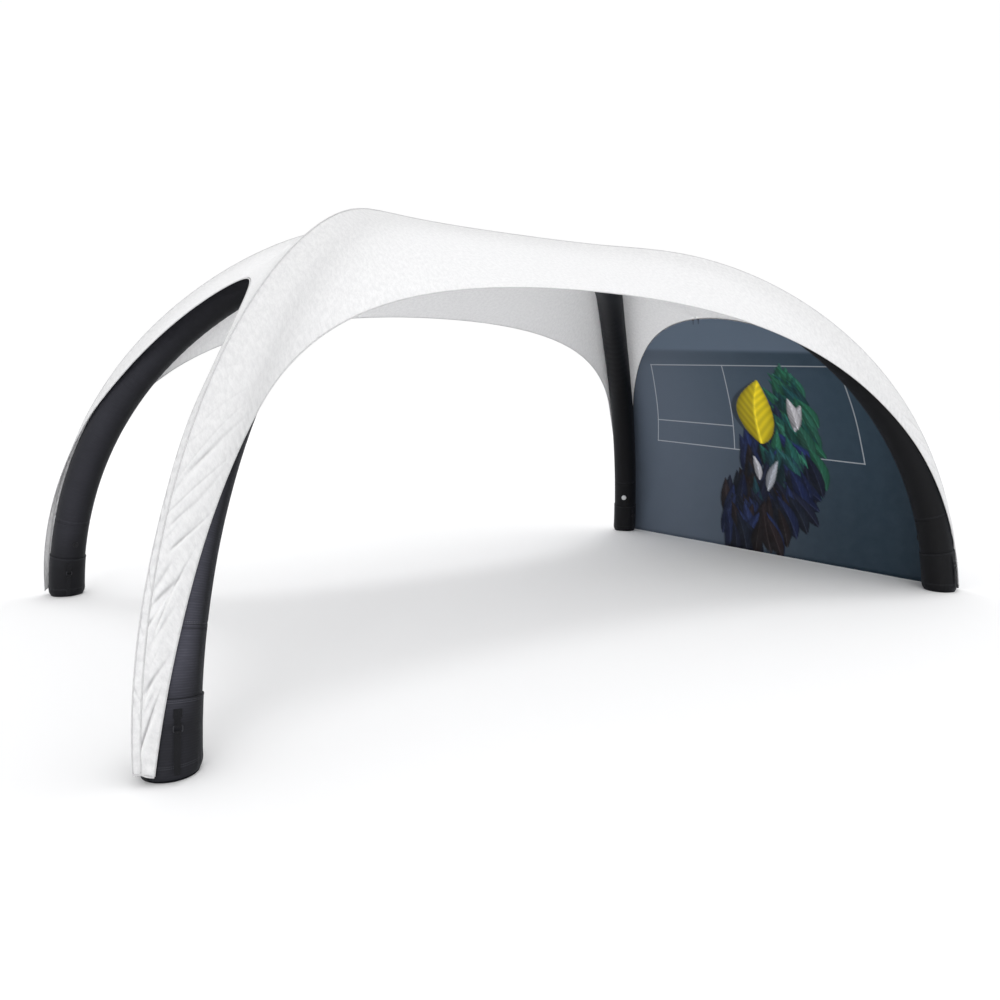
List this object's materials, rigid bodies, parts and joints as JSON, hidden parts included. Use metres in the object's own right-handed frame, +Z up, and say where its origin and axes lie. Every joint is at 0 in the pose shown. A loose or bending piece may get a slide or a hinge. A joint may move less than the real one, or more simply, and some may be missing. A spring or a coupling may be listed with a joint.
{
  "type": "inflatable event tent",
  "caption": "Inflatable event tent: air arches bound together at the crown carry a stretch canopy with arched open sides, and a printed wall is zipped into an end.",
  "frame": {"origin": "centre of the footprint, on the ground", "axes": "+X along the long side towards the closed wall, +Y towards the back, +Z up"},
  "size_m": [6.0473, 3.9274, 2.6896],
  "materials": {
    "sleeve_fabric": "matte woven polyester",
    "bladder_film": "satin film",
    "canopy_fabric": "matte stretch knit",
    "printed_fabric": "matte printed polyester",
    "webbing": "matte woven webbing",
    "valve_plastic": "moulded, satin",
    "buckle_steel": "bright plated wire",
    "foot_vinyl": "coated fabric, low sheen"
  },
  "bodies": {
    "tent": {"back_arch_bladder": "bladder_film", "back_arch_sleeve": "sleeve_fabric", "back_canopy_hem": "canopy_fabric", "back_canopy_panel": "canopy_fabric", "back_left_base_pad": "foot_vinyl", "back_left_boot": "foot_vinyl", "back_left_strap_loop": "webbing", "back_left_tip_loop": "webbing", "back_relief_body": "valve_plastic", "back_ridge_seam": "canopy_fabric", "back_right_base_pad": "foot_vinyl", "back_right_boot": "foot_vinyl", "back_right_strap_loop": "webbing", "back_right_tip_loop": "webbing", "back_valve_body": "valve_plastic", "crown_air_coupler": "valve_plastic", "crown_sleeve": "sleeve_fabric", "front_arch_bladder": "bladder_film", "front_arch_sleeve": "sleeve_fabric", "front_canopy_hem": "canopy_fabric", "front_canopy_panel": "canopy_fabric", "front_left_base_pad": "foot_vinyl", "front_left_boot": "foot_vinyl", "front_left_strap_loop": "webbing", "front_left_tip_loop": "webbing", "front_relief_body": "valve_plastic", "front_ridge_seam": "canopy_fabric", "front_right_base_pad": "foot_vinyl", "front_right_boot": "foot_vinyl", "front_right_strap_loop": "webbing", "front_right_tip_loop": "webbing", "front_valve_body": "valve_plastic", "left_canopy_hem": "canopy_fabric", "left_canopy_panel": "canopy_fabric", "right_canopy_hem": "canopy_fabric", "right_canopy_panel": "canopy_fabric"},
    "wall": {"wall_panel": "printed_fabric", "wall_zip": "webbing", "wall_bottom_hem": "printed_fabric", "front_zip_slider": "buckle_steel", "back_zip_slider": "buckle_steel"},
    "front_zip_pull": {"front_zip_puller": "buckle_steel"},
    "back_zip_pull": {"back_zip_puller": "buckle_steel"},
    "front_cap": {"front_valve_cap": "valve_plastic"},
    "back_cap": {"back_valve_cap": "valve_plastic"},
    "front_poppet": {"front_valve_poppet": "valve_plastic"},
    "back_poppet": {"back_valve_poppet": "valve_plastic"},
    "front_plunger": {"front_relief_plunger": "valve_plastic"},
    "back_plunger": {"back_relief_plunger": "valve_plastic"},
    "front_left_strap": {"front_left_buckle": "buckle_steel", "front_left_strap_tail": "webbing"},
    "front_right_strap": {"front_right_buckle": "buckle_steel", "front_right_strap_tail": "webbing"},
    "back_left_strap": {"back_left_buckle": "buckle_steel", "back_left_strap_tail": "webbing"},
    "back_right_strap": {"back_right_buckle": "buckle_steel", "back_right_strap_tail": "webbing"}
  },
  "joints": [
    {"name": "wall_unzips", "type": "slide", "parent": "tent", "child": "wall", "axis": [1, 0, 0], "range_m": [0, 1.2]},
    {"name": "front_zip_pull_swings", "type": "hinge", "parent": "wall", "child": "front_zip_pull", "pos_m": [2.00895, -0.03, 2.18965], "axis": [0, 1, 0], "range_deg": [-40, 60]},
    {"name": "back_zip_pull_swings", "type": "hinge", "parent": "wall", "child": "back_zip_pull", "pos_m": [2.00895, 0.03, 2.18965], "axis": [0, 1, 0], "range_deg": [-40, 60]},
    {"name": "front_cap_opens", "type": "hinge", "parent": "tent", "child": "front_cap", "pos_m": [-2.74413, -1.70038, 0.42251], "axis": [0.6541, -0.7564, 0], "range_deg": [0, 150]},
    {"name": "back_cap_opens", "type": "hinge", "parent": "tent", "child": "back_cap", "pos_m": [2.74413, 1.70038, 0.42251], "axis": [-0.6541, 0.7564, 0], "range_deg": [0, 150]},
    {"name": "front_poppet_pushes_in", "type": "slide", "parent": "tent", "child": "front_poppet", "axis": [-0.7409, -0.6406, 0.2018], "range_m": [0, 0.004], "stiffness_N_per_m": 300},
    {"name": "back_poppet_pushes_in", "type": "slide", "parent": "tent", "child": "back_poppet", "axis": [0.7409, 0.6406, 0.2018], "range_m": [0, 0.004], "stiffness_N_per_m": 300},
    {"name": "front_plunger_pushes_in", "type": "slide", "parent": "tent", "child": "front_plunger", "axis": [0.2373, -0.9559, 0.1733], "range_m": [0, 0.004], "stiffness_N_per_m": 300},
    {"name": "back_plunger_pushes_in", "type": "slide", "parent": "tent", "child": "back_plunger", "axis": [-0.2373, 0.9559, 0.1733], "range_m": [0, 0.004], "stiffness_N_per_m": 300},
    {"name": "front_left_strap_swings", "type": "hinge", "parent": "tent", "child": "front_left_strap", "pos_m": [-2.86672, -1.94709, 0.22596], "axis": [-0.9963, 0, 0.0863], "range_deg": [0, 110]},
    {"name": "front_right_strap_swings", "type": "hinge", "parent": "tent", "child": "front_right_strap", "pos_m": [2.86672, -1.94709, 0.22596], "axis": [-0.9963, 0, -0.0863], "range_deg": [0, 110]},
    {"name": "back_left_strap_swings", "type": "hinge", "parent": "tent", "child": "back_left_strap", "pos_m": [-2.86912, 1.67732, 0.19825], "axis": [-0.9963, 0, 0.0863], "range_deg": [0, 110]},
    {"name": "back_right_strap_swings", "type": "hinge", "parent": "tent", "child": "back_right_strap", "pos_m": [2.86912, 1.67732, 0.19825], "axis": [-0.9963, 0, -0.0863], "range_deg": [0, 110]}
  ]
}
